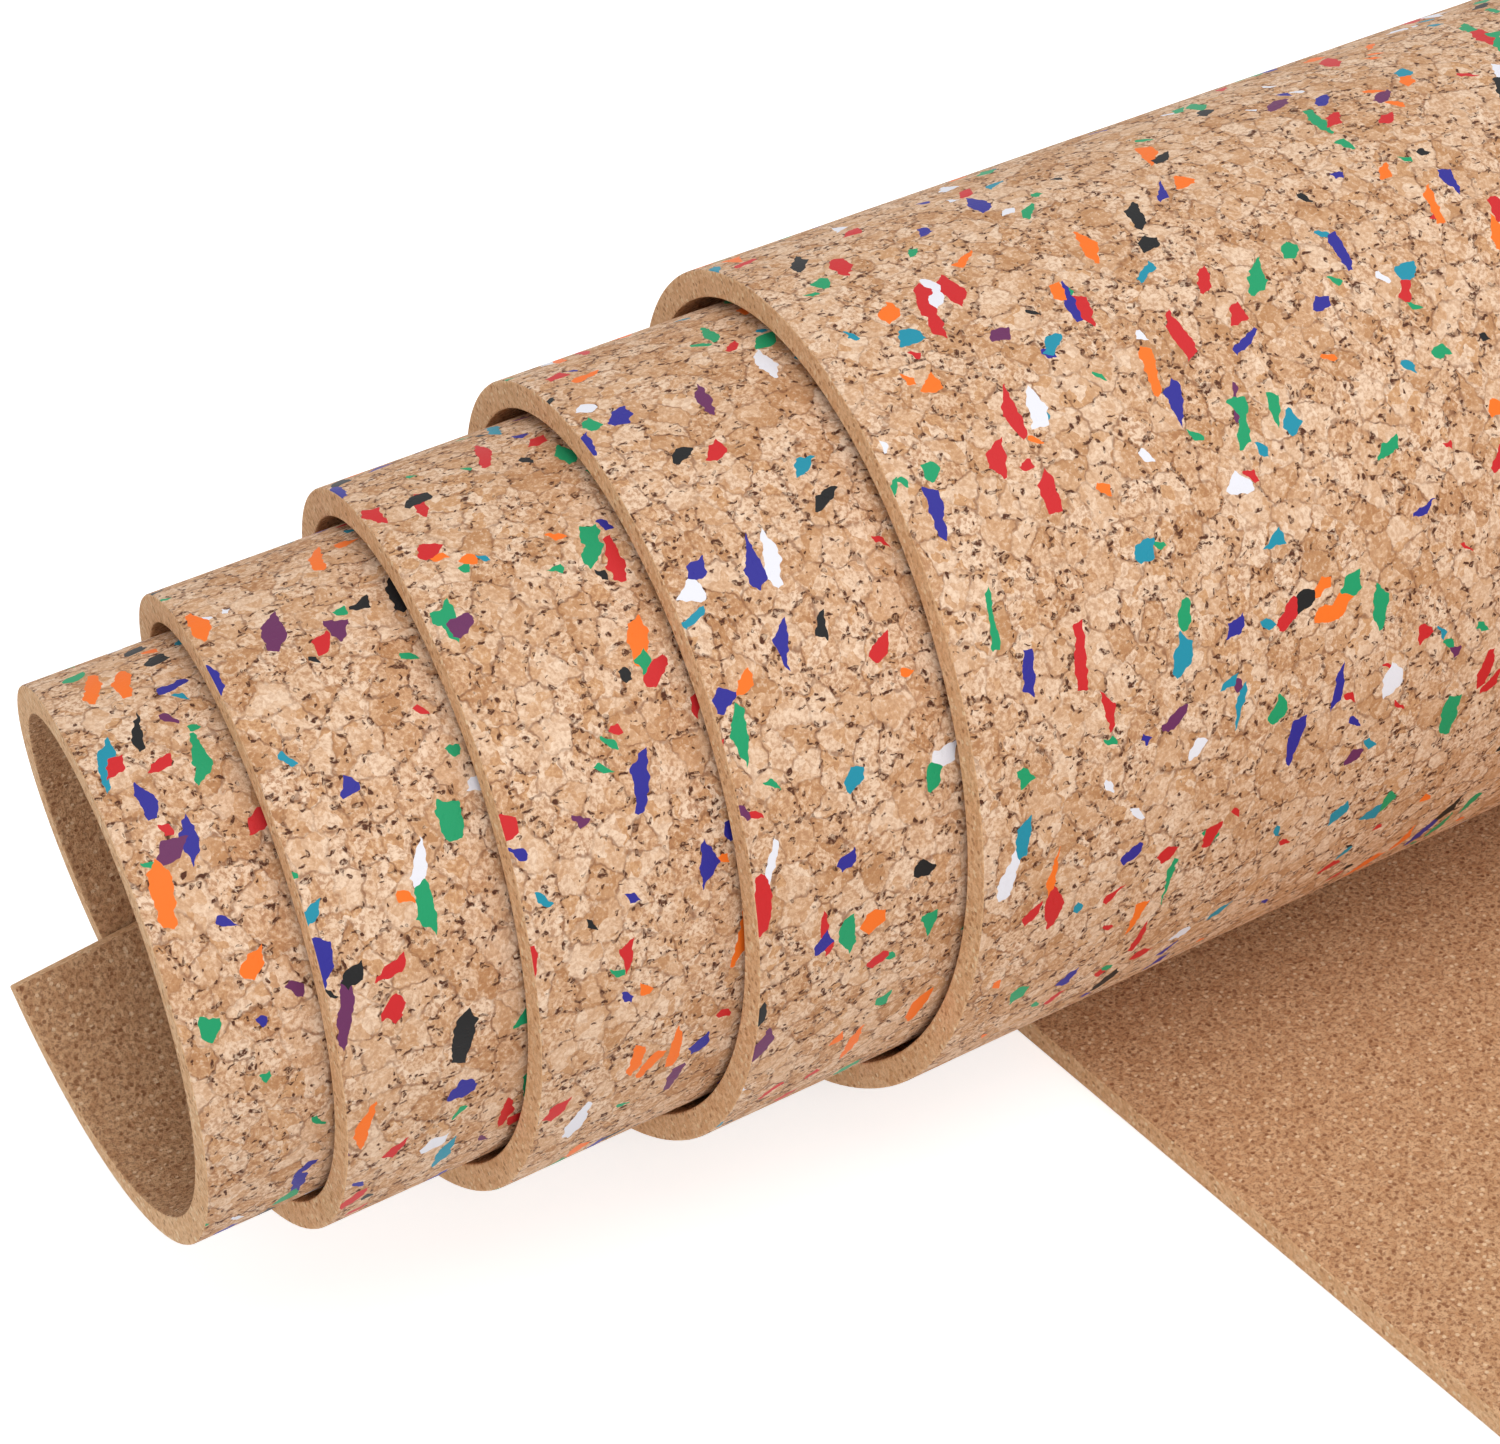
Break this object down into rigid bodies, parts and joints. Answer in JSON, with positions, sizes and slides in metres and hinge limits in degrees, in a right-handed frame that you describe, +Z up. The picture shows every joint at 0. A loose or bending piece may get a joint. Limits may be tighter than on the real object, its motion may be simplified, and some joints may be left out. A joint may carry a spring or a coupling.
{
  "type": "cork underlayment roll",
  "caption": "Sheet of agglomerated cork rolled slightly askew, its turns stepping out as a cone at one end and its tail lying flat.",
  "frame": {"origin": "middle of the flat tail's underside, on the floor", "axes": "+X along the roll's axis, away from the end where the turns step out; +Y from the tail towards the roll; +Z up"},
  "size_m": [1.2141, 0.6832, 0.151],
  "materials": {
    "cork": "matt granulated cork, coloured chips on the outer face, fine plain cork on the inner face and edges"
  },
  "bodies": {
    "root": {"cork_sheet": "cork"}
  },
  "joints": []
}
